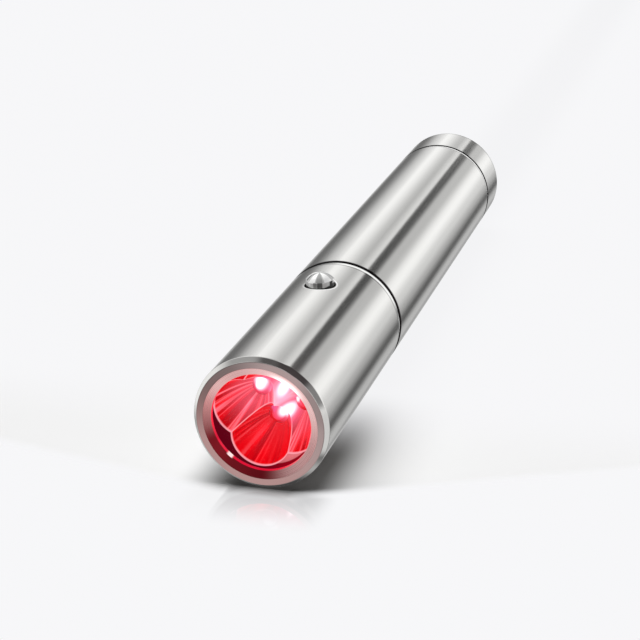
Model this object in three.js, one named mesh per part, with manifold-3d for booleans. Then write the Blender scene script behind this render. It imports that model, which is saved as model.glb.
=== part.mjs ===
import * as THREE from "three";
import { mergeVertices } from "three/addons/utils/BufferGeometryUtils.js";
import Module from "manifold-3d";

// Red light therapy wand, in millimetres: a metal tube that lies along Y with its window towards -Y.
// Depths run along the tube from the rim of the light head, at zero, to the tail end.
// Heights run from the tube's axis towards the button, along +Z.

const wasm = await Module();
wasm.setup();

// Driving dimensions: the wand is built round one battery cell, and its outside follows from its pieces
const cellRadius = 9.2;
const cellLength = 70;
const cellGap = 0.5; // round the cell in its tube
const tubeWall = 3;
const capLength = 12.15; // second seam to tail end

// Clearances
const seatGap = 0.05; // between pieces stacked on each other
const fitGap = 0.2; // round a piece that drops into a bore
const screwGap = 0.3; // between a threaded spigot and its bore
const holeGap = 0.3; // round what passes through a drilled hole
const sealGap = 0.1; // round a seal at rest
const overrun = 1; // how far a cutter passes the face it opens
const weldDistance = 0.001;

// Facets round each kind of piece
const tubeSides = 60;
const ringSides = 32;
const smallSides = 12;
const wireSides = 8;
const coilSides = 5;
const coilSteps = 8; // along each curl of a spring

const rim = {
  roundWidth: 0.76, // across the front face
  roundLength: 0.86, // along the tube
  roundSteps: 3,
};

const optics = {
  headWall: 1.98,
  bezelWidth: 1.37,
  coneDepth: 0.6, // conical front of the bezel
  bezelDepth: 1.5,
  gasketThickness: 0.4,
  gasketWidth: 0.9,
  lensThickness: 1.3,
  lensEdge: 0.2,
};

const cups = {
  count: 4,
  turn: -16, // degrees, of the lowest cup from straight down
  mouthShare: 0.532, // radius of a cup's mouth over the reflector's radius
  rimLand: 0.55, // cup to the reflector's edge
  depth: 10.6,
  steps: 8,
  flangeThickness: 1.2,
  flangeStep: 0.3,
};

const lamp = {
  packageWidth: 3.45,
  packageHeight: 0.6,
  domeRadius: 1.25,
  domeSteps: 3,
  domeRoom: 0.65, // round the dome in the foot of its cup
};

const board = {
  thickness: 1.6,
  edgeGap: 0.1,
  screwInset: 2.52, // bore to the middle of a screw
  screwShankRadius: 0.8,
  screwGrip: 2.75, // shank in the heat sink
  screwHeadRadius: 1.5,
  screwHeadHeight: 1.1,
};

const sink = {
  plateThickness: 3.5,
  length: 11.7,
  skirtWall: 1.9,
  driverRecess: 1.5, // depth of the wider end that takes the driver board
  driverStep: 0.7, // ledge that the driver board sits on
};

const driver = {
  thickness: 1.2,
  coilRadius: 2.7,
  coilHeight: 3.4,
  coilNeck: 0.6,
  coilFlange: 0.7,
  coilOffset: 3.4,
  chipLength: 4.9,
  chipWidth: 3.9,
  chipHeight: 1.5,
  chipOffset: 3.2,
};

const lead = {
  radius: 0.45,
  inset: 2.02, // heat sink's skirt to the middle of a lead
  bow: 0.9, // how far a lead swings out in the heat sink's hollow
  steps: 8,
};

const carrier = {
  frontWall: 5.95, // heat sink to switch pocket
  rearWall: 2.75, // switch pocket to shoulder
  flangeRoom: 0.6, // round the button's flange in the pocket
};

const button = {
  capRadius: 2.8,
  holeChamfer: 0.35,
  proud: 0.9,
  crown: 1.7, // rise of the conical top
  edge: 0.12,
  flangeLip: 0.9, // how far the flange reaches past the hole
  flangeThickness: 0.8,
  pinRadius: 0.9,
  pinLength: 1.3,
  travel: 0.8,
};

const tact = {
  boardThickness: 1,
  boardMargin: 0.2, // round the return dome
  bodyWidth: 4.5,
  bodyHeight: 2,
  plungerRadius: 1,
  plungerProud: 0.5,
  plungerLength: 1.3,
};

const dome = {
  footGap: 0.268, // round the corners of the switch
  footWall: 0.65,
  wall: 0.55,
  headOuterRadius: 2.9,
  headInnerRadius: 1.6,
};

const spigot = {
  socketWall: 1.4, // of the tube round the spigot
  length: 8.5,
  wall: 2.4,
  shoulderInset: 5.5, // seam to the shoulder inside the head
  edge: 0.3,
  grooveInset: 0.5, // seam to seal groove
  grooveWidth: 1.5,
};

const seal = {
  wireRadius: 0.65,
  wireSides: 8,
};

const tube = {
  socketSlack: 0.5, // room past the end of a spigot
  headSeam: 0.45,
  capSeam: 0.3,
  headChamfer: 0.35,
  seamChamfer: 0.15,
};

const contact = {
  radius: 5.5,
  thickness: 0.6,
};

const cell = {
  terminalRadius: 2.9,
  terminalHeight: 1.3,
  crimpWidth: 0.8,
  baseEdge: 0.3,
  insulatorInset: 1,
  insulatorThickness: 0.4,
};

const cap = {
  floorThickness: 7,
  spigotWall: 1.4,
  tailChamfer: 0.45,
  boardThickness: 1.2,
  ringThickness: 1.4,
  ringWidth: 1.5,
  slotWidth: 1.4,
};

const frontSpring = {
  length: 5.6,
  wireRadius: 0.4,
  baseRadius: 4.2,
  tipRadius: 2,
  curls: 3,
};

const tailSpring = {
  length: 10.95,
  wireRadius: 0.5,
  baseRadius: 6.4,
  tipRadius: 3,
  curls: 5,
};

// Radii, from the cell outwards and back in
const tubeBore = cellRadius + cellGap;
const wandRadius = tubeBore + tubeWall;
const headBore = wandRadius - optics.headWall;
const dropInRadius = headBore - fitGap;
const windowRadius = headBore - optics.bezelWidth;
const mouthRadius = cups.mouthShare * dropInRadius;
const cupCircle = dropInRadius - cups.rimLand - mouthRadius;
const lampHoleRadius = lamp.domeRadius + lamp.domeRoom;
const screwCircle = dropInRadius - board.screwInset;
const skirtRadius = dropInRadius - sink.skirtWall;
const recessRadius = skirtRadius + sink.driverStep;
const leadCircle = skirtRadius - lead.inset;
const socketRadius = wandRadius - spigot.socketWall;
const spigotRadius = socketRadius - screwGap;
const spigotBore = spigotRadius - spigot.wall;
const nozzleRadius = spigotBore - holeGap;
const capBore = spigotRadius - cap.spigotWall;
const sealRadius = socketRadius - sealGap - seal.wireRadius;
const grooveRadius = sealRadius - seal.wireRadius - sealGap;

// The button, and the pocket under it that holds the switch
const buttonHoleRadius = button.capRadius + holeGap;
const flangeRadius = buttonHoleRadius + button.flangeLip;
const domeFootInner = tact.bodyWidth / Math.SQRT2 + dome.footGap;
const domeFootOuter = domeFootInner + dome.footWall;
const switchBoardHalf = domeFootOuter + tact.boardMargin;
const pocketHalf = Math.max(switchBoardHalf + holeGap, flangeRadius + carrier.flangeRoom);

// Depths, from the rim to the tail
const gasketDepth = optics.bezelDepth + seatGap;
const lensDepth = gasketDepth + optics.gasketThickness + seatGap;
const cupDepth = lensDepth + optics.lensThickness + seatGap;
const cupBack = cupDepth + cups.depth;
const spacerDepth = cupBack + seatGap;
const boardDepth = spacerDepth + lamp.packageHeight + seatGap;
const sinkDepth = boardDepth + board.thickness + seatGap;
const sinkHollow = sinkDepth + sink.plateThickness;
const sinkEnd = sinkDepth + sink.length;
const driverDepth = sinkEnd - sink.driverRecess + seatGap;
const carrierDepth = sinkEnd + seatGap;
const buttonDepth = carrierDepth + carrier.frontWall + pocketHalf;
const carrierShoulder = buttonDepth + pocketHalf + carrier.rearWall;
const headShoulder = carrierShoulder + seatGap;
const headLength = headShoulder + spigot.shoulderInset;
const spigotEnd = headLength + spigot.length;
const contactDepth = spigotEnd - contact.thickness;
const frontPlate = spigotEnd + seatGap;
const cellDepth = frontPlate + frontSpring.length + seatGap;
const canDepth = cellDepth + cell.terminalHeight + seatGap;
const cellEnd = cellDepth + cellLength;
const tailPlate = cellEnd + seatGap + tailSpring.length;
const tailBoardDepth = tailPlate + seatGap;
const tailRingDepth = tailBoardDepth - seatGap - cap.ringThickness;
const capFloor = tailBoardDepth + cap.boardThickness + seatGap;
const wandLength = capFloor + cap.floorThickness;
const capStart = wandLength - capLength;
const capSpigotEnd = capStart - spigot.length;
const tubeStart = headLength + tube.headSeam;
const tubeEnd = capStart - tube.capSeam;

// Heights of the button and its switch, from the wand's axis down to the pocket's floor
const capTop = wandRadius + button.proud;
const flangeTop = Math.sqrt(headBore ** 2 - flangeRadius ** 2) - fitGap;
const flangeBase = flangeTop - button.flangeThickness;
const pinFoot = flangeBase - button.pinLength;
const plungerTop = pinFoot - seatGap;
const plungerFoot = plungerTop - tact.plungerLength;
const tactTop = plungerTop - tact.plungerProud;
const wellFoot = plungerFoot - button.travel - seatGap;
const tactBase = tactTop - tact.bodyHeight;
const switchBoardTop = tactBase - seatGap;
const pocketFloor = switchBoardTop - tact.boardThickness - seatGap;

// Shapes

// A turned piece from its profile of [radius, depth] points, with the solid on the left of the path.
function turned(profile, sides) {
  const points = profile.map(([radius, depth]) => new THREE.Vector2(radius, depth));
  return new THREE.LatheGeometry(points, sides, Math.PI / sides);
}

// Round stretch of a profile, a quarter of an ellipse from one point to another.
function quarterRound([radius0, depth0], [radius1, depth1], steps) {
  return Array.from({ length: steps + 1 }, (_, i) => {
    const angle = (Math.PI / 2) * (i / steps);
    const radius = radius0 + (radius1 - radius0) * Math.sin(angle);
    return [radius, depth1 + (depth0 - depth1) * Math.cos(angle)];
  });
}

function disc(radius, from, to, sides) {
  return turned([[0, from], [radius, from], [radius, to], [0, to]], sides);
}

function ring(inner, outer, from, to, sides) {
  const profile = [[inner, from], [outer, from], [outer, to], [inner, to], [inner, from]];
  return turned(profile, sides);
}

// Stands a piece that was turned along the tube on end, so that its depths become heights.
function upright(geometry, depth) {
  return geometry.rotateX(Math.PI / 2).translate(0, depth, 0);
}

function block(width, depth, height, x, y, z) {
  return new THREE.BoxGeometry(width, depth, height).translate(x, y, z);
}

// The same point on a circle round the wand's axis, for hole patterns and the cups.
function onCircle(radius, degrees) {
  const angle = THREE.MathUtils.degToRad(degrees);
  return [radius * Math.cos(angle), radius * Math.sin(angle)];
}

function tubeAlong(points, radius, sides, steps) {
  const path = new THREE.CatmullRomCurve3(points);
  const corners = Array.from({ length: sides }, (_, i) => {
    const angle = (2 * Math.PI * i) / sides;
    return new THREE.Vector2(radius * Math.cos(angle), radius * Math.sin(angle));
  });
  const section = new THREE.Shape(corners);
  return new THREE.ExtrudeGeometry(section, { steps, extrudePath: path, curveSegments: 1 });
}

// Cuts and joins

function solid(geometry) {
  const bare = geometry.clone();
  bare.deleteAttribute("normal");
  bare.deleteAttribute("uv");
  const merged = mergeVertices(bare, weldDistance);
  const faces = [];
  for (let i = 0; i < merged.index.count; i += 3) {
    const [a, b, c] = merged.index.array.slice(i, i + 3);
    if (a !== b && b !== c && c !== a) faces.push(a, b, c);
  }
  const vertProperties = merged.getAttribute("position").array;
  const triVerts = new Uint32Array(faces);
  return new wasm.Manifold(new wasm.Mesh({ numProp: 3, vertProperties, triVerts }));
}

function geometryOf(shape) {
  const { vertProperties, triVerts } = shape.getMesh();
  const geometry = new THREE.BufferGeometry();
  geometry.setAttribute("position", new THREE.BufferAttribute(vertProperties, 3));
  geometry.setIndex(new THREE.BufferAttribute(triVerts, 1));
  geometry.computeVertexNormals();
  return geometry;
}

function cut(body, cutters) {
  return geometryOf(cutters.reduce((rest, cutter) => rest.subtract(solid(cutter)), solid(body)));
}

function join(body, others) {
  return geometryOf(others.reduce((whole, other) => whole.add(solid(other)), solid(body)));
}

// Light head

function headTube() {
  const grooveStart = headLength + spigot.grooveInset;
  const grooveEnd = grooveStart + spigot.grooveWidth;
  const flatRadius = wandRadius - rim.roundWidth;
  const body = turned([
    [headBore, 0],
    ...quarterRound([flatRadius, 0], [wandRadius, rim.roundLength], rim.roundSteps),
    [wandRadius, headLength - tube.headChamfer],
    [wandRadius - tube.headChamfer, headLength],
    [spigotRadius, headLength],
    [spigotRadius, grooveStart],
    [grooveRadius, grooveStart],
    [grooveRadius, grooveEnd],
    [spigotRadius, grooveEnd],
    [spigotRadius, spigotEnd - spigot.edge],
    [spigotRadius - spigot.edge, spigotEnd],
    [spigotBore, spigotEnd],
    [spigotBore, headShoulder],
    [headBore, headShoulder],
    [headBore, 0],
  ], tubeSides);
  const chamferFoot = wandRadius - button.holeChamfer;
  const chamferReach = button.holeChamfer + overrun;
  const hole = turned([
    [0, flangeTop],
    [buttonHoleRadius, flangeTop],
    [buttonHoleRadius, chamferFoot],
    [buttonHoleRadius + chamferReach, chamferFoot + chamferReach],
    [0, chamferFoot + chamferReach],
  ], ringSides);
  return cut(body, [upright(hole, buttonDepth)]);
}

function frontBezel() {
  const outer = headBore - sealGap;
  return turned([
    [windowRadius, optics.coneDepth],
    [outer, 0],
    [outer, optics.bezelDepth],
    [windowRadius, optics.bezelDepth],
    [windowRadius, optics.coneDepth],
  ], tubeSides);
}

function lensGasket() {
  const inner = dropInRadius - optics.gasketWidth;
  return ring(inner, dropInRadius, gasketDepth, gasketDepth + optics.gasketThickness, ringSides);
}

function lens() {
  const back = lensDepth + optics.lensThickness;
  return turned([
    [0, lensDepth],
    [dropInRadius - optics.lensEdge, lensDepth],
    [dropInRadius, lensDepth + optics.lensEdge],
    [dropInRadius, back - optics.lensEdge],
    [dropInRadius - optics.lensEdge, back],
    [0, back],
  ], ringSides);
}

// Directions of the four cups and of the two screws and two leads between them, in degrees
const cupAngles = Array.from({ length: cups.count }, (_, i) => cups.turn - 90 + (360 / cups.count) * i);
const screwAngles = [cupAngles[0] + 180 / cups.count, cupAngles[0] + 180 / cups.count + 180];
const leadAngles = screwAngles.map((angle) => angle + 360 / cups.count);

// A parabolic bowl that opens towards the window, narrowing to the hole that a lamp looks through.
function cupCutter() {
  const bowl = Array.from({ length: cups.steps + 1 }, (_, i) => {
    const depth = cupDepth + (cups.depth * i) / cups.steps;
    const share = (cupBack - depth) / cups.depth;
    const widening = (mouthRadius ** 2 - lampHoleRadius ** 2) * share;
    return [Math.sqrt(lampHoleRadius ** 2 + widening), depth];
  });
  return turned([
    [0, cupDepth - overrun],
    [mouthRadius, cupDepth - overrun],
    ...bowl,
    [lampHoleRadius, cupBack + overrun],
    [0, cupBack + overrun],
  ], ringSides);
}

function reflector() {
  const bodyRadius = dropInRadius - cups.flangeStep;
  const flangeBack = cupDepth + cups.flangeThickness;
  const body = turned([
    [0, cupDepth],
    [dropInRadius, cupDepth],
    [dropInRadius, flangeBack],
    [bodyRadius, flangeBack],
    [bodyRadius, cupBack],
    [0, cupBack],
  ], ringSides);
  const bowls = cupAngles.map((angle) => {
    const [x, z] = onCircle(cupCircle, angle);
    return cupCutter().translate(x, 0, z);
  });
  const reliefRadius = board.screwHeadRadius + holeGap;
  const headRoom = board.screwHeadHeight - lamp.packageHeight + holeGap;
  const reliefs = screwAngles.map((angle) => {
    const [x, z] = onCircle(screwCircle, angle);
    return disc(reliefRadius, cupBack - headRoom, cupBack + overrun, smallSides).translate(x, 0, z);
  });
  return cut(body, [...bowls, ...reliefs]);
}

function ledSpacer() {
  const end = spacerDepth + lamp.packageHeight;
  const body = disc(dropInRadius, spacerDepth, end, ringSides);
  const windowWidth = lamp.packageWidth + holeGap;
  const windowDepth = lamp.packageHeight + overrun;
  const windows = cupAngles.map((angle) => {
    const [x, z] = onCircle(cupCircle, angle);
    return block(windowWidth, windowDepth, windowWidth, x, (spacerDepth + end) / 2, z);
  });
  const screwHoles = screwAngles.map((angle) => {
    const [x, z] = onCircle(screwCircle, angle);
    const radius = board.screwHeadRadius + holeGap;
    return disc(radius, spacerDepth - overrun, end + overrun, smallSides).translate(x, 0, z);
  });
  return cut(body, [...windows, ...screwHoles]);
}

// A square lamp with a clear dome, standing on the board and looking out of its cup.
function led(angle) {
  const [x, z] = onCircle(cupCircle, angle);
  const base = boardDepth - seatGap;
  const top = base - lamp.packageHeight;
  const middle = (base + top) / 2;
  const width = lamp.packageWidth;
  const packageBlock = block(width, lamp.packageHeight, width, x, middle, z);
  const domeTop = top - lamp.domeRadius;
  const domeCurve = quarterRound([0, domeTop], [lamp.domeRadius, top], lamp.domeSteps);
  const clearDome = turned([...domeCurve, [lamp.domeRadius, middle], [0, middle]], smallSides);
  return join(packageBlock, [clearDome.translate(x, 0, z)]);
}

function ledBoard() {
  const end = boardDepth + board.thickness;
  const body = disc(dropInRadius - board.edgeGap, boardDepth, end, ringSides);
  const holes = screwAngles.map((angle) => {
    const [x, z] = onCircle(screwCircle, angle);
    const radius = board.screwShankRadius + holeGap;
    return disc(radius, boardDepth - overrun, end + overrun, smallSides).translate(x, 0, z);
  });
  return cut(body, holes);
}

function boardScrew(angle) {
  const [x, z] = onCircle(screwCircle, angle);
  const under = boardDepth - seatGap;
  const top = under - board.screwHeadHeight;
  const end = sinkDepth + board.screwGrip;
  return turned([
    [0, top],
    [board.screwHeadRadius, top],
    [board.screwHeadRadius, under],
    [board.screwShankRadius, under],
    [board.screwShankRadius, end],
    [0, end],
  ], smallSides).translate(x, 0, z);
}

function heatSink() {
  const body = turned([
    [0, sinkDepth],
    [dropInRadius, sinkDepth],
    [dropInRadius, sinkEnd],
    [recessRadius, sinkEnd],
    [recessRadius, sinkEnd - sink.driverRecess],
    [skirtRadius, sinkEnd - sink.driverRecess],
    [skirtRadius, sinkHollow],
    [0, sinkHollow],
  ], ringSides);
  const screwHoles = screwAngles.map((angle) => {
    const [x, z] = onCircle(screwCircle, angle);
    const end = sinkDepth + board.screwGrip + holeGap;
    const radius = board.screwShankRadius + holeGap;
    return disc(radius, sinkDepth - overrun, end, smallSides).translate(x, 0, z);
  });
  const leadHoles = leadAngles.map((angle) => {
    const [x, z] = onCircle(leadCircle, angle);
    const radius = lead.radius + holeGap;
    return disc(radius, sinkDepth - overrun, sinkHollow + overrun, smallSides).translate(x, 0, z);
  });
  return cut(body, [...screwHoles, ...leadHoles]);
}

// A lead from the driver board through the heat sink to the back of the lamp board.
function ledLead(angle) {
  const near = onCircle(leadCircle, angle);
  const bowed = onCircle(leadCircle - lead.bow, angle);
  const start = sinkDepth;
  const end = driverDepth - seatGap;
  const stops = [
    [near, start],
    [near, sinkHollow],
    [bowed, (sinkHollow + end) / 2],
    [near, end],
  ];
  const points = stops.map(([[x, z], depth]) => new THREE.Vector3(x, depth, z));
  return tubeAlong(points, lead.radius, wireSides, lead.steps);
}

function driverBoard() {
  const end = driverDepth + driver.thickness;
  const body = disc(recessRadius - fitGap, driverDepth, end, ringSides);
  const half = driver.thickness / 2;
  const chipReach = driver.chipHeight + half;
  const chip = block(
    driver.chipLength, chipReach, driver.chipWidth,
    0, driverDepth + half - chipReach / 2, -driver.chipOffset,
  );
  return join(body, [chip]);
}

function driverCoil() {
  const base = driverDepth - seatGap;
  const top = base - driver.coilHeight;
  const neck = driver.coilRadius - driver.coilNeck;
  return turned([
    [0, top],
    [driver.coilRadius, top],
    [driver.coilRadius, top + driver.coilFlange],
    [neck, top + driver.coilFlange],
    [neck, base - driver.coilFlange],
    [driver.coilRadius, base - driver.coilFlange],
    [driver.coilRadius, base],
    [0, base],
  ], smallSides).translate(0, 0, driver.coilOffset);
}

// Switch and contacts behind the lamps

function electronicsCarrier() {
  const nozzleEnd = contactDepth - seatGap;
  const body = turned([
    [0, carrierDepth],
    [dropInRadius, carrierDepth],
    [dropInRadius, carrierShoulder],
    [nozzleRadius, carrierShoulder],
    [nozzleRadius, nozzleEnd],
    [0, nozzleEnd],
  ], ringSides);
  const width = 2 * pocketHalf;
  const height = dropInRadius + overrun - pocketFloor;
  const pocket = block(width, width, height, 0, buttonDepth, pocketFloor + height / 2);
  return cut(body, [pocket]);
}

function switchBoard() {
  const width = 2 * switchBoardHalf;
  const middle = switchBoardTop - tact.boardThickness / 2;
  return block(width, width, tact.boardThickness, 0, buttonDepth, middle);
}

function tactSwitch() {
  const middle = (tactBase + tactTop) / 2;
  const body = block(tact.bodyWidth, tact.bodyWidth, tact.bodyHeight, 0, buttonDepth, middle);
  const wellRadius = tact.plungerRadius + holeGap;
  const well = disc(wellRadius, wellFoot, tactTop + overrun, smallSides);
  return cut(body, [upright(well, buttonDepth)]);
}

function tactPlunger() {
  const plunger = disc(tact.plungerRadius, plungerFoot, plungerTop, smallSides);
  return upright(plunger, buttonDepth);
}

// A hollow silicone skirt that pushes the button up: straight round the switch, then drawn in.
function returnDome() {
  const foot = switchBoardTop + seatGap;
  const neck = tactTop + seatGap;
  const head = flangeBase - seatGap;
  return upright(turned([
    [domeFootInner, foot],
    [domeFootOuter, foot],
    [domeFootOuter, neck],
    [dome.headOuterRadius, head],
    [dome.headInnerRadius, head],
    [dome.headInnerRadius, head - dome.wall],
    [domeFootInner, neck],
    [domeFootInner, foot],
  ], smallSides), buttonDepth);
}

function powerButton() {
  return upright(turned([
    [0, pinFoot],
    [button.pinRadius, pinFoot],
    [button.pinRadius, flangeBase],
    [flangeRadius, flangeBase],
    [flangeRadius, flangeTop],
    [button.capRadius, flangeTop],
    [button.capRadius, capTop - button.edge],
    [button.capRadius - button.edge, capTop],
    [0, capTop + button.crown],
  ], ringSides), buttonDepth);
}

function frontContact() {
  return disc(contact.radius, contactDepth, contactDepth + contact.thickness, ringSides);
}

// A conical battery spring from a contact plate to the cell, its two ends square to what they meet.
function batterySpring(spring, plate, tip, name) {
  const towards = Math.sign(tip - plate);
  const straight = 2 * spring.wireRadius * towards;
  const first = plate + straight;
  const last = tip - straight;
  const points = [new THREE.Vector3(spring.baseRadius, plate, 0)];
  const turns = [];
  const count = spring.curls * coilSteps;
  for (let i = 0; i <= count; i += 1) {
    const share = i / count;
    const angle = 2 * Math.PI * spring.curls * share;
    const radius = THREE.MathUtils.lerp(spring.baseRadius, spring.tipRadius, share);
    const depth = THREE.MathUtils.lerp(first, last, share);
    turns.push(new THREE.Vector3(radius * Math.cos(angle), depth, radius * Math.sin(angle)));
  }
  points.push(...turns, new THREE.Vector3(spring.tipRadius, tip, 0));
  let least = Infinity;
  turns.forEach((a, i) => turns.slice(i + coilSteps / 2).forEach((b) => {
    least = Math.min(least, a.distanceTo(b));
  }));
  console.log(name + " least gap to itself " + (least - 2 * spring.wireRadius).toFixed(2) + " mm");
  return tubeAlong(points, spring.wireRadius, coilSides, count + 2);
}

function sealRing(depth) {
  const torus = new THREE.TorusGeometry(sealRadius, seal.wireRadius, seal.wireSides, ringSides);
  return torus.rotateX(Math.PI / 2).translate(0, depth, 0);
}

// Battery tube

function batteryTube() {
  const headSocket = spigotEnd + tube.socketSlack;
  const capSocket = capSpigotEnd - tube.socketSlack;
  return turned([
    [socketRadius, tubeStart],
    [wandRadius - tube.seamChamfer, tubeStart],
    [wandRadius, tubeStart + tube.seamChamfer],
    [wandRadius, tubeEnd - tube.seamChamfer],
    [wandRadius - tube.seamChamfer, tubeEnd],
    [socketRadius, tubeEnd],
    [socketRadius, capSocket],
    [tubeBore, capSocket],
    [tubeBore, headSocket],
    [socketRadius, headSocket],
    [socketRadius, tubeStart],
  ], tubeSides);
}

function batteryCan() {
  return turned([
    [0, canDepth],
    [cellRadius - cell.crimpWidth, canDepth],
    [cellRadius, canDepth + cell.crimpWidth],
    [cellRadius, cellEnd - cell.baseEdge],
    [cellRadius - cell.baseEdge, cellEnd],
    [0, cellEnd],
  ], ringSides);
}

function batteryTerminal() {
  return disc(cell.terminalRadius, cellDepth, cellDepth + cell.terminalHeight, smallSides);
}

function batteryInsulator() {
  const inner = cell.terminalRadius + holeGap;
  const back = canDepth - seatGap;
  return ring(inner, cellRadius - cell.insulatorInset, back - cell.insulatorThickness, back, ringSides);
}

// Tail cap

function tailCap() {
  const grooveEnd = capStart - spigot.grooveInset;
  const grooveStart = grooveEnd - spigot.grooveWidth;
  return turned([
    [0, capFloor],
    [capBore, capFloor],
    [capBore, capSpigotEnd],
    [spigotRadius - spigot.edge, capSpigotEnd],
    [spigotRadius, capSpigotEnd + spigot.edge],
    [spigotRadius, grooveStart],
    [grooveRadius, grooveStart],
    [grooveRadius, grooveEnd],
    [spigotRadius, grooveEnd],
    [spigotRadius, capStart],
    [wandRadius - tube.seamChamfer, capStart],
    [wandRadius, capStart + tube.seamChamfer],
    [wandRadius, wandLength - cap.tailChamfer],
    [wandRadius - cap.tailChamfer, wandLength],
    [0, wandLength],
  ], tubeSides);
}

function tailBoard() {
  const end = tailBoardDepth + cap.boardThickness;
  return disc(capBore - fitGap, tailBoardDepth, end, ringSides);
}

// The ring that clamps the tail board, with two slots for a pin spanner.
function tailRing() {
  const outer = capBore - sealGap;
  const end = tailRingDepth + cap.ringThickness;
  const body = ring(outer - cap.ringWidth, outer, tailRingDepth, end, ringSides);
  const slots = [-1, 1].map((side) => block(
    cap.ringWidth, cap.ringThickness, cap.slotWidth,
    side * (outer - cap.ringWidth), tailRingDepth, 0,
  ));
  return cut(body, slots);
}

// Materials
const steel = { color: 0xb8b8b4, metalness: 1, roughness: 0.28 };
const brass = { color: 0xc9a35b, metalness: 1, roughness: 0.35 };
const rubber = { color: 0x1b1b1d, metalness: 0, roughness: 0.7 };
const circuit = { color: 0x1f5136, metalness: 0, roughness: 0.5 };
const plastic = { color: 0x232326, metalness: 0, roughness: 0.5 };
const pale = { color: 0xe8e6e0, metalness: 0, roughness: 0.6 };

const wand = new THREE.Group();
wand.position.set(0, -wandLength / 2, wandRadius * Math.cos(Math.PI / tubeSides));

function add(name, geometry, look) {
  const mesh = new THREE.Mesh(geometry, new THREE.MeshStandardMaterial(look));
  mesh.name = name;
  wand.add(mesh);
}

add("head_tube", headTube(), steel);
add("front_bezel", frontBezel(), { color: 0xd9b4ae, metalness: 1, roughness: 0.25 });
add("lens_gasket", lensGasket(), rubber);
add("lens", lens(), { color: 0xffffff, roughness: 0.02, transparent: true, opacity: 0.2 });
add("reflector", reflector(), { color: 0xe01020, metalness: 0.9, roughness: 0.12 });
add("led_spacer", ledSpacer(), pale);
cupAngles.forEach((angle, i) => {
  add("led_" + (i + 1), led(angle), { color: 0xffd8d8, emissive: 0xff2030, roughness: 0.2 });
});
add("led_board", ledBoard(), circuit);
screwAngles.forEach((angle, i) => {
  add("board_screw_" + (i + 1), boardScrew(angle), steel);
});
add("heat_sink", heatSink(), brass);
["led_lead_positive", "led_lead_negative"].forEach((name, i) => {
  add(name, ledLead(leadAngles[i]), { color: i ? 0x151515 : 0xb01818, roughness: 0.5 });
});
add("driver_board", driverBoard(), circuit);
add("driver_coil", driverCoil(), rubber);
add("electronics_carrier", electronicsCarrier(), plastic);
add("switch_board", switchBoard(), circuit);
add("tact_switch", tactSwitch(), plastic);
add("tact_plunger", tactPlunger(), pale);
add("return_dome", returnDome(), { color: 0xa9adb0, roughness: 0.6 });
add("power_button", powerButton(), steel);
add("front_contact", frontContact(), brass);
const frontTip = frontPlate + frontSpring.length;
add("front_spring", batterySpring(frontSpring, frontPlate, frontTip, "front_spring"), brass);
const headSealDepth = headLength + spigot.grooveInset + spigot.grooveWidth / 2;
add("head_oring", sealRing(headSealDepth), rubber);

add("battery_tube", batteryTube(), steel);
add("battery_can", batteryCan(), { color: 0x2f6fae, roughness: 0.4 });
add("battery_insulator", batteryInsulator(), pale);
add("battery_terminal", batteryTerminal(), steel);

add("tail_cap", tailCap(), steel);
add("cap_oring", sealRing(capStart - spigot.grooveInset - spigot.grooveWidth / 2), rubber);
add("tail_board", tailBoard(), circuit);
add("tail_ring", tailRing(), brass);
add("tail_spring", batterySpring(tailSpring, tailPlate, cellEnd + seatGap, "tail_spring"), brass);

export default wand;
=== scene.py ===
import math
from functools import partialmethod

import bmesh
import bpy
from mathutils import Matrix, Vector


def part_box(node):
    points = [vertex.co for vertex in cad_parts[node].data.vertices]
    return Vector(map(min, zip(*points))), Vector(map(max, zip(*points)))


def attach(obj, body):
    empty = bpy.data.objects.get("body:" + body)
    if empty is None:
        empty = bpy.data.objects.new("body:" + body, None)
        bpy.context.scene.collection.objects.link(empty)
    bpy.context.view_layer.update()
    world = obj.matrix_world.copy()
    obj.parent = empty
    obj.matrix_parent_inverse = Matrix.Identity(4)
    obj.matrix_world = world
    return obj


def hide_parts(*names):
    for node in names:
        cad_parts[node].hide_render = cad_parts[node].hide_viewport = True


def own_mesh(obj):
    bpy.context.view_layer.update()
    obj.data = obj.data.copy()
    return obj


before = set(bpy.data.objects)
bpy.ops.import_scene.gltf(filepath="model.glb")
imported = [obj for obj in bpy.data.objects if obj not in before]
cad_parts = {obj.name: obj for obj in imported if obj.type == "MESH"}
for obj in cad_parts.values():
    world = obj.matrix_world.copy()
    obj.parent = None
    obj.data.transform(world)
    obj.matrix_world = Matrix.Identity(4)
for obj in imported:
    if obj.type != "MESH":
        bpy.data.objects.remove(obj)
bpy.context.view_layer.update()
scene = bpy.context.scene

# Red light therapy wand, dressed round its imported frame.
# It lies along Y with the window towards -Y. Depths run from the rim to the tail, in millimetres,
# and heights run from the wand's axis towards the button.
mm = 0.001
tiny = 1e-9
joinGap = 1e-7  # points of a mesh that lie closer, in metres, become one
black, white = (0, 0, 0), (1, 1, 1)
headLow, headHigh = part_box("head_tube")
wand = {
    "radius": 12.7,
    "rimY": headLow.y,
    "axisZ": (headLow.z + headHigh.z) / 2,
    "sides": 192,
}
print("frame loaded")


def at(across, depth, up):
    return Vector((across * mm, wand["rimY"] + depth * mm, wand["axisZ"] + up * mm))


# Node trees

class Wire:  # one output socket, so that sums of wires can be written as expressions
    def __init__(self, graph, socket):
        self.graph = graph
        self.socket = socket

    def maths(self, operation, *others):
        return self.graph.maths(operation, self, *others)

    __add__ = __radd__ = partialmethod(maths, "ADD")
    __sub__ = partialmethod(maths, "SUBTRACT")
    __mul__ = __rmul__ = partialmethod(maths, "MULTIPLY")
    __truediv__ = partialmethod(maths, "DIVIDE")
    __abs__ = partialmethod(maths, "ABSOLUTE")

    def __rsub__(self, other):
        return self.graph.maths("SUBTRACT", other, self)


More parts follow.
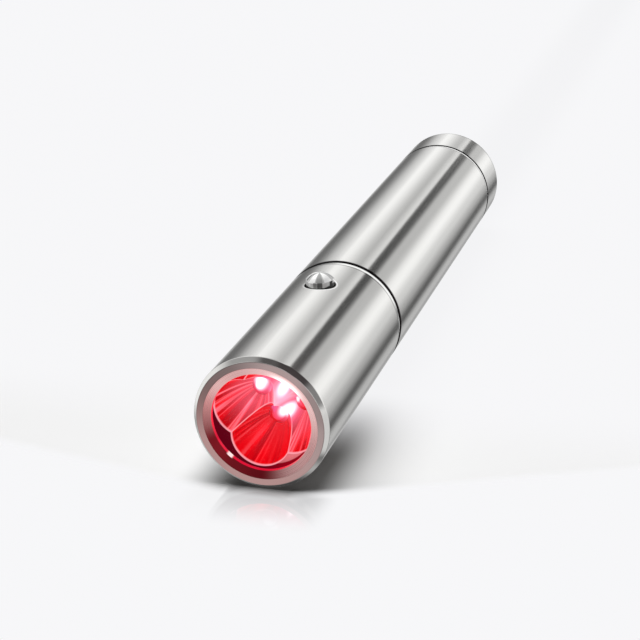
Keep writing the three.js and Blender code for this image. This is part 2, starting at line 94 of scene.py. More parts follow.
class Graph:
    def __init__(self, tree):
        self.tree = tree
        tree.nodes.clear()

    def node(self, kind, inputs=None, output=0, **settings):
        made = self.tree.nodes.new(kind)
        for name, value in settings.items():
            setattr(made, name, value)
        for name, value in (inputs or {}).items():
            socket = made.inputs[name]
            if isinstance(value, Wire):
                self.tree.links.new(value.socket, socket)
            else:
                socket.default_value = (*value, 1) if socket.type == "RGBA" else value
        return Wire(self, made.outputs[output]) if made.outputs else made

    def grow(self, kind, **inputs):  # a geometry node
        return self.node("GeometryNode" + kind, spaced(inputs))

    def maths(self, operation, *values):
        return self.node("ShaderNodeMath", dict(enumerate(values)), operation=operation)

    def vectorMaths(self, operation, *values, output=0):
        return self.node("ShaderNodeVectorMath", dict(enumerate(values)), output, operation=operation)

    def smooth(self, value, low, high):
        inputs = {"Value": value, "From Min": low, "From Max": high}
        return self.node("ShaderNodeMapRange", inputs, interpolation_type="SMOOTHSTEP")

    def mix(self, factor, first, second):
        return self.node("ShaderNodeMix", {0: factor, 6: first, 7: second}, 2, data_type="RGBA")

    def noise(self, vector, detail=2):
        return self.node("ShaderNodeTexNoise", {"Vector": vector, "Scale": 1, "Detail": detail})

    def bump(self, height, distance):
        return self.node("ShaderNodeBump", {"Height": height, "Distance": distance})

    def parts(self, vector):
        return [self.node("ShaderNodeSeparateXYZ", {0: vector}, i) for i in range(3)]

    def vector(self, x, y, z):
        return self.node("ShaderNodeCombineXYZ", {0: x, 1: y, 2: z})

    def length(self, x, y):
        return self.vectorMaths("LENGTH", self.vector(x, y, 0), output=1)

    def place(self):  # millimetres from the middle of the rim, with the wand's axis at zero height
        raw = self.node("ShaderNodeTexCoord", output=3)
        fromRim = self.vectorMaths("SUBTRACT", raw, at(0, 0, 0))
        return self.vectorMaths("MULTIPLY", fromRim, (1 / mm,) * 3)

    def speckle(self, place, scales, detail=2):
        return self.noise(self.vectorMaths("MULTIPLY", place, scales), detail)

    def degrees(self, across, up):
        return self.maths("ARCTAN2", up, across) * math.degrees(1)

    def bands(self, turn, level, rows):
        # Each row is a band in degrees: middle, half width, soft edge before it and after it, strength
        for middle, half, before, after, strength in rows:
            offset = self.maths("WRAP", turn - middle, 180, -180)
            band = self.smooth(offset, -half - before, -half) * self.smooth(offset, half + after, half)
            level = level + band * strength
        return level


def spaced(words):
    return {key.replace("_", " "): value for key, value in words.items()}


def newMaterial(name):
    material = bpy.data.materials.new(name)
    material.use_nodes = True
    return material, Graph(material.node_tree)


def finish(name, build=None, **constants):
    material, graph = newMaterial(name)
    sockets = spaced(constants)
    if build:
        sockets.update(build(graph, graph.place()))
    surface = graph.node("ShaderNodeBsdfPrincipled", sockets)
    graph.node("ShaderNodeOutputMaterial", {"Surface": surface})
    return material


# Turned shapes

def rounded(corners, steps=5, support=0.04, most=0.45):
    # Corners are radius, depth and rounding. A rounded one becomes an arc with a support point on both sides,
    # which takes at most the given share of a side.
    path = []
    for i, corner in enumerate(corners):
        here = Vector(corner[:2])
        if len(corner) < 3:
            path.append(tuple(here))
            continue
        before = Vector(corners[i - 1][:2]) - here
        after = Vector(corners[(i + 1) % len(corners)][:2]) - here
        reach = min(corner[2], most * before.length, most * after.length)
        start = here + before.normalized() * reach
        end = here + after.normalized() * reach
        if before.length > 2 * reach + 2 * support:
            path.append(tuple(start + before.normalized() * support))
        for k in range(steps + 1):
            t = k / steps
            path.append(tuple(start * (1 - t) ** 2 + here * 2 * t * (1 - t) + end * t ** 2))
        if after.length > 2 * reach + 2 * support:
            path.append(tuple(end + after.normalized() * support))
    return path


def wandPoint(radius, turn, depth):
    return at(radius * math.cos(turn), depth, radius * math.sin(turn))


def buttonPoint(radius, turn, height):
    return at(radius * math.cos(turn), button["depth"] + radius * math.sin(turn), height)


def smoothed(piece, sharpAngle=32):
    piece.data.polygons.foreach_set("use_smooth", [True] * len(piece.data.polygons))
    piece.data.set_sharp_from_angle(angle=math.radians(sharpAngle))
    return piece


def applied(piece, sharpAngle=32):
    # The modifiers' result becomes the piece's own mesh
    evaluated = piece.evaluated_get(bpy.context.evaluated_depsgraph_get())
    mesh = bpy.data.meshes.new_from_object(evaluated)
    piece.modifiers.clear()
    piece.data = mesh
    return smoothed(piece, sharpAngle)


def placed(name, data):
    made = bpy.data.objects.new(name, data)
    scene.collection.objects.link(made)
    return made


def meshPiece(name, bm, sharpAngle=32):
    mesh = bpy.data.meshes.new(name)
    bmesh.ops.remove_doubles(bm, verts=bm.verts, dist=joinGap)
    bmesh.ops.recalc_face_normals(bm, faces=bm.faces)
    bm.to_mesh(mesh)
    bm.free()
    return smoothed(placed(name, mesh), sharpAngle)


def turned(name, profile, sides, closed=True, toPoint=wandPoint):
    bm = bmesh.new()
    rings = []
    for radius, depth in profile:
        if radius < tiny:
            rings.append([bm.verts.new(toPoint(0, 0, depth))] * sides)
        else:
            spots = [toPoint(radius, 2 * math.pi * i / sides, depth) for i in range(sides)]
            rings.append([bm.verts.new(spot) for spot in spots])
    pairs = list(zip(rings, rings[1:]))
    if closed:
        pairs.append((rings[-1], rings[0]))
    for first, second in pairs:
        for i in range(sides):
            k = (i + 1) % sides
            corners = list(dict.fromkeys((first[i], first[k], second[k], second[i])))
            if len(corners) > 2:
                bm.faces.new(corners)
    return meshPiece(name, bm)


def lathe(name, corners, closed=True, sides=wand["sides"], toPoint=wandPoint):
    return turned(name, rounded(corners), sides, closed, toPoint)


def coat(mesh, material):
    mesh.materials.clear()
    mesh.materials.append(material)


def dress(piece, material, body, slot, *nodes):
    if material:
        coat(piece.data, material)
    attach(piece, body)
    if nodes:
        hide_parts(*nodes)
    return piece


# Pieces that repeat or follow a path grow in Geometry Nodes and are then made plain meshes

def newTree(name, floats, wholes):
    tree = bpy.data.node_groups.new(name, "GeometryNodeTree")
    sockets = tree.interface
    sockets.new_socket("Geometry", in_out="INPUT", socket_type="NodeSocketGeometry")
    for kind, labels in (("Float", floats), ("Int", wholes)):
        for label in labels:
            sockets.new_socket(label, in_out="INPUT", socket_type="NodeSocket" + kind)
    sockets.new_socket("Geometry", in_out="OUTPUT", socket_type="NodeSocketGeometry")
    graph = Graph(tree)
    entry = tree.nodes.new("NodeGroupInput")
    return graph, {socket.name: Wire(graph, socket) for socket in entry.outputs if socket.name}


def endTree(graph, geometry, material):
    coated = graph.grow("SetMaterial", Geometry=geometry, Material=material)
    graph.node("NodeGroupOutput", {"Geometry": coated})


def grown(piece, graph, values, sharpAngle=32):
    modifier = piece.modifiers.new("grow", "NODES")
    modifier.node_group = graph.tree
    for item in graph.tree.interface.items_tree:
        if item.in_out == "INPUT" and item.name in values:
            modifier[item.identifier] = values[item.name]
    return applied(piece, sharpAngle)


def coilTree(name, material):
    # A wire round the wand's axis. Its end turns can lie flat, and a three-sided wire makes a screw thread.
    # A size that isn't given is zero.
    graph, given = newTree(name, (
        "Start radius", "End radius", "Foot", "Length", "Turns", "Flat turns", "Wire", "Spread", "Section turn",
        "Sink"), ("Sides", "Points"))
    points = graph.grow("ResampleCurve", Curve=graph.grow("CurvePrimitiveLine"), Count=given["Points"])
    along = graph.node("GeometryNodeSplineParameter", output="Factor")
    turns, flat, wire = given["Turns"], given["Flat turns"], given["Wire"]
    passed = along * turns
    atFoot = passed.maths("MINIMUM", flat)
    atHead = (passed - turns + flat).maths("MAXIMUM", 0)
    between = ((passed - flat) / (turns - 2 * flat)).maths("MINIMUM", 1).maths("MAXIMUM", 0)
    rise = (given["Length"] - 2 * wire - 4 * wire * flat) * between + 2 * wire * (atFoot + atHead)
    faded = (passed.maths("MINIMUM", turns - passed) * 2).maths("MINIMUM", 1)
    radius = given["Start radius"] + (given["End radius"] - given["Start radius"]) * along
    radius = radius - (1 - faded) * given["Sink"]
    angle = passed * (2 * math.pi)
    across, up = radius * angle.maths("COSINE"), radius * angle.maths("SINE")
    spot = graph.vector(across, up, given["Foot"] + wire + rise)
    path = graph.grow("SetPosition", Geometry=points, Position=spot)
    path = graph.node("GeometryNodeSetCurveNormal", {"Curve": path}, mode="Z_UP")
    section = graph.grow("CurvePrimitiveCircle", Resolution=given["Sides"], Radius=wire)
    swing, spread = graph.vector(0, 0, given["Section turn"]), graph.vector(1, given["Spread"], 1)
    section = graph.grow("Transform", Geometry=section, Rotation=swing, Scale=spread)
    solid = graph.grow("CurveToMesh", Curve=path, Profile_Curve=section, Fill_Caps=True)
    placing = {"Translation": at(0, 0, 0), "Rotation": (-math.pi / 2, 0, 0), "Scale": (mm, mm, mm)}
    endTree(graph, graph.grow("Transform", Geometry=solid, **placing), material)
    return graph


def roundTree(name, material):
    # Copies of one unit, spaced evenly round the wand's axis and joined where they meet
    graph, given = newTree(name, ("Join distance",), ("Count",))
    middle = at(0, 0, 0)
    seats = graph.grow("Points", Count=given["Count"], Position=middle)
    turn = graph.vector(0, graph.grow("InputIndex") * (2 * math.pi) / given["Count"], 0)
    unit = graph.grow("Transform", Geometry=given["Geometry"], Translation=-middle)
    copies = graph.grow("InstanceOnPoints", Points=seats, Instance=unit, Rotation=turn)
    whole = graph.grow("RealizeInstances", Geometry=copies)
    joined = graph.grow("MergeByDistance", Geometry=whole, Distance=given["Join distance"])
    endTree(graph, joined, material)
    return graph


def coil(name, graph, sizes, body, slot, *nodes):
    piece = grown(placed(name, bpy.data.meshes.new(name)), graph, sizes, 50)
    return dress(piece, None, body, slot, *nodes)


# Camera, at the photograph's angle: the wand is turned a little about its own axis under it
camera = {
    "lens": 88.58,
    "clipStart": 0.01,
    "from": (82.958, -237.137, 121.014),  # from the middle of the rim's plane
    "along": (-0.26878477, 0.88778839, -0.37361279),
    "orbit": 2.3,
}


def placeCamera():
    data = bpy.data.cameras.new("camera")
    data.lens = camera["lens"]
    data.clip_start = camera["clipStart"]
    eye = placed("camera", data)
    along = Vector(camera["along"]).normalized()
    across = along.cross(Vector((0, 0, 1))).normalized()
    upwards = across.cross(along)
    turn = Matrix((across, upwards, -along)).transposed().to_4x4()
    turn.translation = Vector(camera["from"]) * mm
    orbit = Matrix.Rotation(math.radians(camera["orbit"]), 4, "Y")
    eye.matrix_world = Matrix.Translation(at(0, 0, 0)) @ orbit @ turn
    scene.camera = eye


placeCamera()

# Studio: strips of soft light that run along the wand with flags between them, and cards at its two ends
studio = {
    "level": 0.618,
    # direction round the wand in degrees from +X towards +Z, half width, soft edge before and after, strength
    "strips": [
        (15.4, 2.6, 28.3, 21.5, 0.54), (45.8, 4.8, 15.5, 3.8, 0.1), (65, 5.2, 12.2, 3, -0.51),
        (127.7, 0, 43.4, 15, 0.75), (194.6, 8.7, 45, 28.9, -0.44),
        (-53, 0, 19.4, 24.9, -0.51), (-100, 8.8, 44.9, 5.5, -0.21),
        (-7.1, 10.5, 11.9, 29.8, 0.29), (210.2, 7.1, 3.7, 4.1, 0.2), (73.2, 0, 3, 19.1, 0.47),
        (-120.9, 10.8, 25.2, 8.5, 0.24), (138.2, 0, 3.6, 32.4, 0.3),
    ],
    # towards a card, cosines of its inner and outer edge, and its light
    "cards": [
        ((0.5, -0.36, 0.79), (0.94, 0.74), 0.06), ((-0.2, -0.36, 0.9), (0.98, 0.92), 0.12),
        ((0.85, -0.42, 0.27), (0.985, 0.93), 0.32), ((-0.58, -0.18, 0.79), (0.98, 0.9), 0.5),
        ((-0.25, -0.84, 0.44), (0.985, 0.94), 0.2), ((-0.97, 0.16, 0.03), (0.96, 0.8), 1.25),
        ((0.85, -0.1, -0.5), (0.96, 0.86), 0.95), ((-0.2, 0.42, -0.885), (0.99, 0.84), 0.08),
        ((0, 1, 0), (0.965, 0.948), 1.15),
    ],
    # the floor in front, lit pink by the lamps, and where it starts and is full, ahead and downwards
    "glow": (1, 0.86, 0.85),
    "glowAhead": (-0.2, -0.7),
    "glowDown": (0.05, -0.2),
    "sunPower": 3.62,
    "sunAngle": 60,
    "sunFrom": (-0.2, 0.22, 1),
}


def lightStudio():
    world = bpy.data.worlds.new("studio")
    scene.world = world
    world.use_nodes = True
    graph = Graph(world.node_tree)
    direction = graph.node("ShaderNodeTexCoord", output=0)
    x, y, z = graph.parts(direction)
    light = graph.bands(graph.degrees(x, z), studio["level"], studio["strips"])
    for towards, (inner, outer), level in studio["cards"]:
        facing = graph.vectorMaths("DOT_PRODUCT", direction, Vector(towards).normalized(), output=1)
        light = light + graph.smooth(facing, outer, inner) * (level - light)
    ahead = graph.smooth(y, *studio["glowAhead"]) * graph.smooth(z, *studio["glowDown"])
    tint = graph.mix(ahead, white, studio["glow"])
    shade = graph.node("ShaderNodeBackground", {"Color": tint, "Strength": light})
    graph.node("ShaderNodeOutputWorld", {"Surface": shade})
    world.cycles_visibility.diffuse = False
    lamp = bpy.data.lights.new("softLight", "SUN")
    lamp.energy = studio["sunPower"]
    lamp.angle = math.radians(studio["sunAngle"])
    sun = placed("softLight", lamp)
    sun.rotation_euler = Vector(studio["sunFrom"]).to_track_quat("Z", "Y").to_euler()
    sun.visible_glossy = False


floor = {
    "half": 3000,
    "level": -0.02,
    "white": (0.93, 0.93, 0.945),
    "shade": 0.8,  # how much of the studio's light the floor returns
    # The shadow starts under the rim, and further back past two places across the wand, at these slopes.
    # It is full up to the first depth of its ends and faint past the second.
    "shadowFront": (-3.5, 0.5),
    "shadowSides": ((-8, 0.21), (5, 0.42)),
    "shadowEnds": (14, 46),
    "faint": 0.04,
    "contact": (3, 17, 0.25),  # painted shadow: darker from the first to the second distance from the axis, and what is left
    "mirror": 0.34,
    "mirrorEnds": (-15, -2, 1),  # depths at which the mirror image starts, is full and ends
    "mirrorSides": (10, 15),  # full up to the first distance from the axis, gone past the second
    "mirrorTone": 0.62,
    "polish": 0.015,
}


def layFloor():
    half = floor["half"] * mm
    bm = bmesh.new()
    corners = [(-half, -half), (half, -half), (half, half), (-half, half)]
    bm.faces.new([bm.verts.new((x, y, floor["level"] * mm)) for x, y in corners])
    sheet = meshPiece("floor", bm)
    material, graph = newMaterial("floorWhite")
    x, y, z = graph.parts(graph.place())
    aside = abs(x)
    full, end = floor["shadowEnds"]
    shadow = floor["faint"] + graph.smooth(y, end, full) * (1 - floor["faint"])
    (left, leftSlope), (right, rightSlope) = floor["shadowSides"]
    later = (x - right).maths("MAXIMUM", 0) * rightSlope + (left - x).maths("MAXIMUM", 0) * leftSlope
    shadow = shadow * graph.smooth(y - later, *floor["shadowFront"])
    # painted shadow along the wand, darkening the floor's colour near its axis
    near, away, rest = floor["contact"]
    returnedWithPaintedShadow = (rest + graph.smooth(aside, near, away) * (1 - rest)) * floor["shade"]
    matt = graph.node("ShaderNodeBsdfPrincipled", {
        "Base Color": graph.mix(shadow * returnedWithPaintedShadow, black, white),
        "Emission Color": graph.mix(shadow, floor["white"], black),
        "Emission Strength": 1,
        "Roughness": 1,
        "Specular IOR Level": 0,
    })
    mirror = graph.node("ShaderNodeBsdfGlossy", {
        "Color": [floor["mirrorTone"]] * 3, "Roughness": floor["polish"]})
    far, near, past = floor["mirrorEnds"]
    inside, outside = floor["mirrorSides"]
    beside = graph.smooth(aside, outside, inside)
    share = graph.smooth(y, far, near) * graph.smooth(y, past, near) * beside * floor["mirror"]
    both = graph.node("ShaderNodeMixShader", {0: share, 1: matt, 2: mirror})
    graph.node("ShaderNodeOutputMaterial", {"Surface": both})
    coat(sheet.data, material)
    sheet.visible_glossy = False


bloom = {"Threshold": 1.3, "Strength": 1, "Size": 0.4, "Tint": (1, 0.8, 0.86)}


def addBloom():
    # The lamps glare a little, as through a camera's lens
    scene.use_nodes = True
    graph = Graph(scene.node_tree)
    picture = graph.node("CompositorNodeRLayers")
    glare = graph.node("CompositorNodeGlare", {"Image": picture, **bloom}, glare_type="BLOOM", quality="HIGH")
    graph.node("CompositorNodeComposite", {"Image": glare})


lightStudio()
layFloor()
addBloom()
scene.view_settings.view_transform = "Standard"
print("camera, studio and floor ready")


# Finishes of the outside

steel = {
    "dark": (0.58, 0.577, 0.56),
    "pale": (0.655, 0.652, 0.638),
    "roughness": 0.13,
    "streak": (2.6, 0.035, 2.6),
    "grain": (11, 0.25, 11),
    "outside": (12.1, 12.3),  # radius from which the tube's outer face is dressed
    # the two joints: middle of the groove, which is painted dark as shade, half its width, start and end of the
    # bevel before it, where a highlight is painted
    "joints": ((51.8, 0.5, 50.1, 51.5), (142.72, 0.34, 141.6, 142.5)),
    # painted highlight on the bevels
    "bevel": (0.8, 0.8, 0.79),
    "bevelSoft": 0.1,
    "edgeShadeLine": (0.15, 0.28, 0.1, 0.5),  # painted shade line before a bevel: how far, outer and inner half width, strength
    "groove": (0.08, 0.96),  # painted shade in the joint's gap: soft edge and strength
    # painted shade along the tail's end edge: start, end and strength
    "endEdgeShade": (154, 154.4, 0.5),
    # painted highlight round the button's hole: inner and outer radius, soft edges there, strength
    "ring": (3.14, 3.62, 0.1, 0.25, 0.9),
    "ringHighlight": (0.98, 0.98, 0.97),
    "hole": (0.04, 0.97),  # painted shade inside the ring, down the hole: soft edge and strength
    "top": (8, 9),  # height from which the button's hole is dressed
    # The rim's flat face, with the lamps' light painted on it as a pink glow, and painted shade. Its tone round
    # the axis: middle, half width, soft edges, strength
    "rimLevel": 0.53,
    "rimPaintedShading": [(130, 10, 45, 60, -0.26), (22, 10, 18, 18, -0.1), (-100, 50, 40, 50, 0.1)],
    "rimPaintedGlow": (1, 0.71, 0.69),
    "rimGrey": (1, 0.9, 0.89),
    "rimDepth": (0.04, 0.01),
    "rimEdge": (12.05, 11.9),
    "paintedGlowSide": (-0.62, -0.78, -7, 6),  # direction across and up, and where grey ends and the painted pink glow is full
}


def brushedSteel(graph, place):
    x, y, z = graph.parts(place)
    streak = graph.speckle(place, steel["streak"], 3)
    grain = graph.speckle(place, steel["grain"])
    tone = (streak - 0.5) * 0.5 + (grain - 0.5) * 0.25
    colour = graph.mix(0.5 + tone, steel["dark"], steel["pale"])
    reach = graph.length(x, z)
    # painted lamp glow and painted shade on the rim's flat face
    front = graph.smooth(y, *steel["rimDepth"]) * graph.smooth(reach, *steel["rimEdge"])
    tone = graph.bands(graph.degrees(x, z), steel["rimLevel"], steel["rimPaintedShading"])
    across, up, grey, full = steel["paintedGlowSide"]
    faced = graph.mix(graph.smooth(x * across + z * up, grey, full), steel["rimGrey"], steel["rimPaintedGlow"])
    colour = graph.mix(front, colour, graph.mix(tone, black, faced))
    outside = graph.smooth(reach, *steel["outside"])
    before, wide, narrow, strength = steel["edgeShadeLine"]
    soft, (grooveSoft, grooveStrength) = steel["bevelSoft"], steel["groove"]
    for middle, half, begin, end in steel["joints"]:
        # painted highlight on the bevel before each joint
        bevel = graph.smooth(y, begin, begin + soft) * graph.smooth(y, end, end - soft) * outside
        colour = graph.mix(bevel, colour, steel["bevel"])
        # painted shade line where each bevel begins
        edgeShadeLine = graph.smooth(abs(y - begin + before), wide, narrow) * outside
        colour = graph.mix(edgeShadeLine * strength, colour, black)
        # painted shade in the gap of each joint
        groove = graph.smooth(abs(y - middle), half + grooveSoft, half)
        colour = graph.mix(groove * outside * grooveStrength, colour, black)
    # painted shade along the tail's end edge
    begin, end, strength = steel["endEdgeShade"]
    colour = graph.mix(graph.smooth(y, begin, end) * outside * strength, colour, black)
    fromButton = graph.length(x, y - button["depth"])
    above = graph.smooth(z, *steel["top"])
    # painted highlight round the button's hole
    inner, outer, innerSoft, outerSoft, strength = steel["ring"]
    holeHighlight = graph.smooth(fromButton, outer, outer - outerSoft) * above
    holeHighlight = holeHighlight * graph.smooth(fromButton, inner, inner + innerSoft)
    colour = graph.mix(holeHighlight * strength, colour, steel["ringHighlight"])
    # painted shade down the button's hole
    soft, strength = steel["hole"]
    colour = graph.mix(graph.smooth(fromButton, inner, inner - soft) * above * strength, colour, black)
    return {
        "Base Color": colour,
        "Roughness": steel["roughness"] + (grain - 0.5) * 0.06 + (streak - 0.5) * 0.05,
        "Normal": graph.bump(streak * 0.5 + grain * 0.5, 1.2e-6),
    }


spunAndPaintedSheen = {
    "tone": (1, 1, 0.99),
    "roughness": 0.42,
    "level": 0.58,
    # painted highlights and reflections in wedges round the button in degrees, from +X towards the tail:
    # middle, half width, soft edges, strength
    "paintedConeSheen": [
        (-110, 12, 5, 5, 0.42), (-76, 12, 5, 5, -0.22), (-34, 17, 6, 6, 0.42), (16, 4, 5, 5, -0.3),
        (60, 6, 5, 5, -0.26), (132, 14, 8, 8, -0.15), (176, 12, 6, 6, 0.35), (-145, 4, 4, 4, -0.45),
    ],
    # painted highlights and reflections in bars round the wall
    "wall": [
        (-114, 10, 4, 4, 0.42), (-93, 5, 3, 3, -0.15), (-74, 9, 3, 3, -0.42), (-49, 13, 4, 4, 0.15),
        (-22, 7, 3, 3, -0.57), (4, 10, 3, 3, 0.42),
    ],
    # painted shade of a gap at the wall's foot: its height, how much it climbs to both sides, its soft edge,
    # its strength
    "gap": (12.5, 0.6, 0.16, 0.97),
    "coneEdge": (-0.05, 0.02),  # from the wall to the top, about the top's height
}


def spunSteelPaintedSheen(graph, place):
    x, y, z = graph.parts(place)
    fromMiddle = y - button["depth"]
    reach = graph.length(x, fromMiddle)
    turn = graph.degrees(x, fromMiddle)
    rings = graph.noise(graph.vector(reach * 9, z * 2, 0))
    # painted highlights and reflections in wedges on the top and bars on the wall
    paintedConeSheen = graph.bands(turn, spunAndPaintedSheen["level"], spunAndPaintedSheen["paintedConeSheen"])
    wall = graph.bands(turn, spunAndPaintedSheen["level"], spunAndPaintedSheen["wall"])
    onCone = graph.smooth(z - button["top"], *spunAndPaintedSheen["coneEdge"])
    # painted shade of a gap at the wall's foot
    foot, climb, soft, strength = spunAndPaintedSheen["gap"]
    aside = abs(x / button["cap"])
    inPaintedGapShade = graph.smooth(z - aside * aside * aside * climb, foot + soft, foot)
    tone = (wall + (paintedConeSheen - wall) * onCone + (rings - 0.5) * 0.12) * (1 - inPaintedGapShade * strength)
    return {
        "Base Color": graph.mix(tone, black, spunAndPaintedSheen["tone"]),
        "Roughness": spunAndPaintedSheen["roughness"] + (rings - 0.5) * 0.08,
        "Normal": graph.bump(rings, 1e-6),
    }


satinPaintedLight = {
    # base colours, with painted shade: rose to the left and deep red low down
    "pale": (0.84, 0.7, 0.68),
    "rose": (0.7, 0.36, 0.36),
    "deep": (0.15, 0.009, 0.013),
    # emission colours: painted lamp light, a glow, a glare, red light in the bore and a glint
    "glow": (0.27, 0.1, 0.1),
    "lowGlow": (0.05, 0.002, 0.004),
    "glare": (1.2, 1.1, 1.1),
    "bore": (0.56, 0.003, 0.03),
    "boreEdge": (9.42, 9.38, 0.6, 0.72),  # radius and depth at which the bore starts and is full
    "glint": (1, 0.8, 0.8),
    "glintEdge": (9.55, 9.42),
    "flareEdge": (10.7, 9.3),
    # painted shade to the left and low, painted glare and painted glint, round the window in degrees: middle,
    # half width, soft edges, strength
    "bands": [(180, 14, 30, 60, 1), (-124, 32, 42, 60, 1), (56, 4, 24, 24, 1), (228, 2, 3, 3, 1)],
}


def bezelSatinPaintedLight(graph, place):
    x, y, z = graph.parts(place)
    reach = graph.length(x, z)
    turn = graph.degrees(x, z)
    rings = graph.noise(graph.vector(reach * 6, y * 6, 0))
    left, low, flare, glint = [graph.bands(turn, 0, [band]) for band in satinPaintedLight["bands"]]
    boreStart, boreFull, start, full = satinPaintedLight["boreEdge"]
    inBore = graph.smooth(reach, boreStart, boreFull) * graph.smooth(y, start, full)
    # painted shade in the base colour
    tone = graph.mix(left * 0.8, satinPaintedLight["pale"], satinPaintedLight["rose"])
    tone = graph.mix(low, tone, satinPaintedLight["deep"])
    # painted lamp light in the emission
    lit = graph.mix(low, satinPaintedLight["glow"], satinPaintedLight["lowGlow"])
    lit = graph.mix(flare * graph.smooth(reach, *satinPaintedLight["flareEdge"]), lit, satinPaintedLight["glare"])
    lit = graph.mix(inBore, lit, satinPaintedLight["bore"])
    lit = graph.mix(glint * graph.smooth(reach, *satinPaintedLight["glintEdge"]), lit, satinPaintedLight["glint"])
    return {
        "Base Color": tone,
        "Roughness": 0.28 + (rings - 0.5) * 0.08,
        "Emission Color": lit,
        "Normal": graph.bump(rings, 1e-6),
    }


# Light head and its power button

# Corners are radius, depth and rounding, here and in the other tables of corners. On the button, the height
# from the wand's axis takes the place of the depth.
button = {
    "depth": 38.6,
    # pin, flange and wall
    "corners": [
        (0, 7.645), (0.9, 7.645, 0.1), (0.9, 8.945), (4, 8.945, 0.1), (4, 9.745, 0.1), (2.8, 9.745),
        (2.8, 13.6),
    ],
    # top, which swells from the wall to its middle
    "cap": 2.8,
    "edge": 0.12,
    "top": 13.72,
    "dip": 0.01,
    "crown": 1.2,
    "fullness": 2.5,
    "steps": 16,
    "sides": 96,
    "hole": 3.1,
    "holeChamfer": 0.35,
    "cutFrom": 8,
}


def roundNormals(shell, low, high):
    # Faces round the drilled hole keep the tube's own curve in their shading
    mesh = shell.data
    normals = [Vector(corner.vector) for corner in mesh.corner_normals]
    for face in mesh.polygons:
        middle = face.center
        outward = Vector((middle.x, 0, middle.z - wand["axisZ"]))
        depth = (middle.y - wand["rimY"]) / mm
        if abs(outward.length / mm - wand["radius"]) > 0.06 or not low < depth < high:
            continue
        for loop in face.loop_indices:
            spot = mesh.vertices[mesh.loops[loop].vertex_index].co
            normals[loop] = Vector((spot.x, 0, spot.z - wand["axisZ"])).normalized()
    mesh.normals_split_custom_set(normals)


head = {
    "corners": [
        # rim and outer face, with more rings where the hole is drilled
        (10.72, 0, 0.03), (11.94, 0, 0.1), (wand["radius"], 0.86, 0.12),
        *[(wand["radius"], button["depth"] + offset) for offset in range(-5, 6)],
        # bevel at the seam
        (wand["radius"], 50.25, 0.06), (12.57, 51.5, 0.06),
        # spigot with the groove of its seal
        (11, 51.5), (11, 52, 0.1), (9.8, 52), (9.8, 53.5), (11, 53.5, 0.1), (11, 60, 0.3),
        # bore
        (8.6, 60, 0.15), (8.6, 46), (10.72, 46),
    ],
    "outerFace": (2, 50.05),  # where the shading is put right round the hole
}


def headShell():
    shell = lathe("headShell", head["corners"])
    hole, inside, chamfer = button["hole"], button["cutFrom"], button["holeChamfer"]
    foot, flare = wand["radius"] - chamfer, chamfer + 1
    cutterProfile = [(0, inside), (hole, inside), (hole, foot), (hole + flare, foot + flare), (0, foot + flare)]
    cutter = turned("holeCutter", cutterProfile, button["sides"], False, buttonPoint)
    drill = shell.modifiers.new("hole", "BOOLEAN")
    drill.operation = "DIFFERENCE"
    drill.solver = "EXACT"
    drill.object = cutter
    applied(shell)
    bpy.data.objects.remove(cutter)
    roundNormals(shell, *head["outerFace"])
    return shell


def powerCap():
    profile = rounded(button["corners"])
    for k in range(button["steps"] + 1):
        share = 1 - k / button["steps"]
        rise = button["crown"] * (1 - share ** button["fullness"]) - button["dip"]
        profile.append((share * (button["cap"] - button["edge"]), button["top"] + rise))
    return turned("powerCap", profile, button["sides"], False, buttonPoint)


bezel = {"corners": [(9.35, 0.6, 0.06), (10.7, 0, 0.02), (10.7, 1.5), (9.35, 1.5, 0.05)]}
steelTube = finish("steelTube", brushedSteel, Metallic=1)
buttonSteel = finish("buttonSteel", spunSteelPaintedSheen, Metallic=0.35)
bezelMetal = finish("bezelMetal", bezelSatinPaintedLight, Metallic=1, Emission_Strength=1)
dress(headShell(), steelTube, "head", "steel_tube", "head_tube")
cap = dress(powerCap(), buttonSteel, "button", "button_steel", "power_button")
cap.visible_glossy = False  # the satin tube round it carries no mirror image of it
dress(lathe("bezelRing", bezel["corners"]), bezelMetal, "head", "bezel_metal", "front_bezel")
print("head and button ready")


# Window, reflector and lamps

glass = {
    "corners": [(0, 2), (10.42, 2, 0.2), (10.42, 3.3, 0.2), (0, 3.3)],
    "sides": 128,
}
lensGlass = finish("lensGlass", Base_Color=(0.05, 0.01, 0.015), Roughness=0.02, Alpha=0.05, IOR=1.5)
dress(lathe("windowGlass", glass["corners"], False, glass["sides"]), lensGlass, "head", "lens_glass", "lens")

cups = {
    "count": 4,
    "turn": -106,  # degrees, the lowest cup
    "circle": 4.374,
    "mouth": 5.597,
    "hole": 1.9,
    "front": 3.35,
    "depth": 10.6,
    "radius": 10.52,
    "body": 10.22,
    "flange": 1.2,
    "arms": 96,
    "softness": 0.16,
    "steps": [0, 0.04, 0.1, 0.18, 0.28, 0.4, 0.52, 0.64, 0.76, 0.86, 0.93, 0.96, 0.975, 0.987, 1],
    "landSteps": [0.06, 0.14, 0.3],
}
cups["diagonal"] = cups["circle"] / math.sqrt(2)
ridge = math.radians(cups["turn"] - 45)
cups["ridge"] = (math.cos(ridge), math.sin(ridge))


def cupDepthAt(x, z):
    # Depth of the surface below the front: the deepest of four paraboloids, blended a little where they meet
    shares = []
    for i in range(cups["count"]):
        turn = math.radians(cups["turn"] + 360 / cups["count"] * i)
        dx = x - cups["circle"] * math.cos(turn)
        dz = z - cups["circle"] * math.sin(turn)
        drop = (cups["mouth"] ** 2 - dx * dx - dz * dz) / (cups["mouth"] ** 2 - cups["hole"] ** 2)
        shares.append(drop * cups["depth"])
    shares.sort()
    depth = shares.pop()
    for other in (shares.pop(), 0):
        depth = (depth + other + math.sqrt((depth - other) ** 2 + cups["softness"] ** 2)) / 2
    return min(depth, cups["depth"])


def alongRidges(x, z):
    c, s = cups["ridge"]
    return x * c + z * s, z * c - x * s


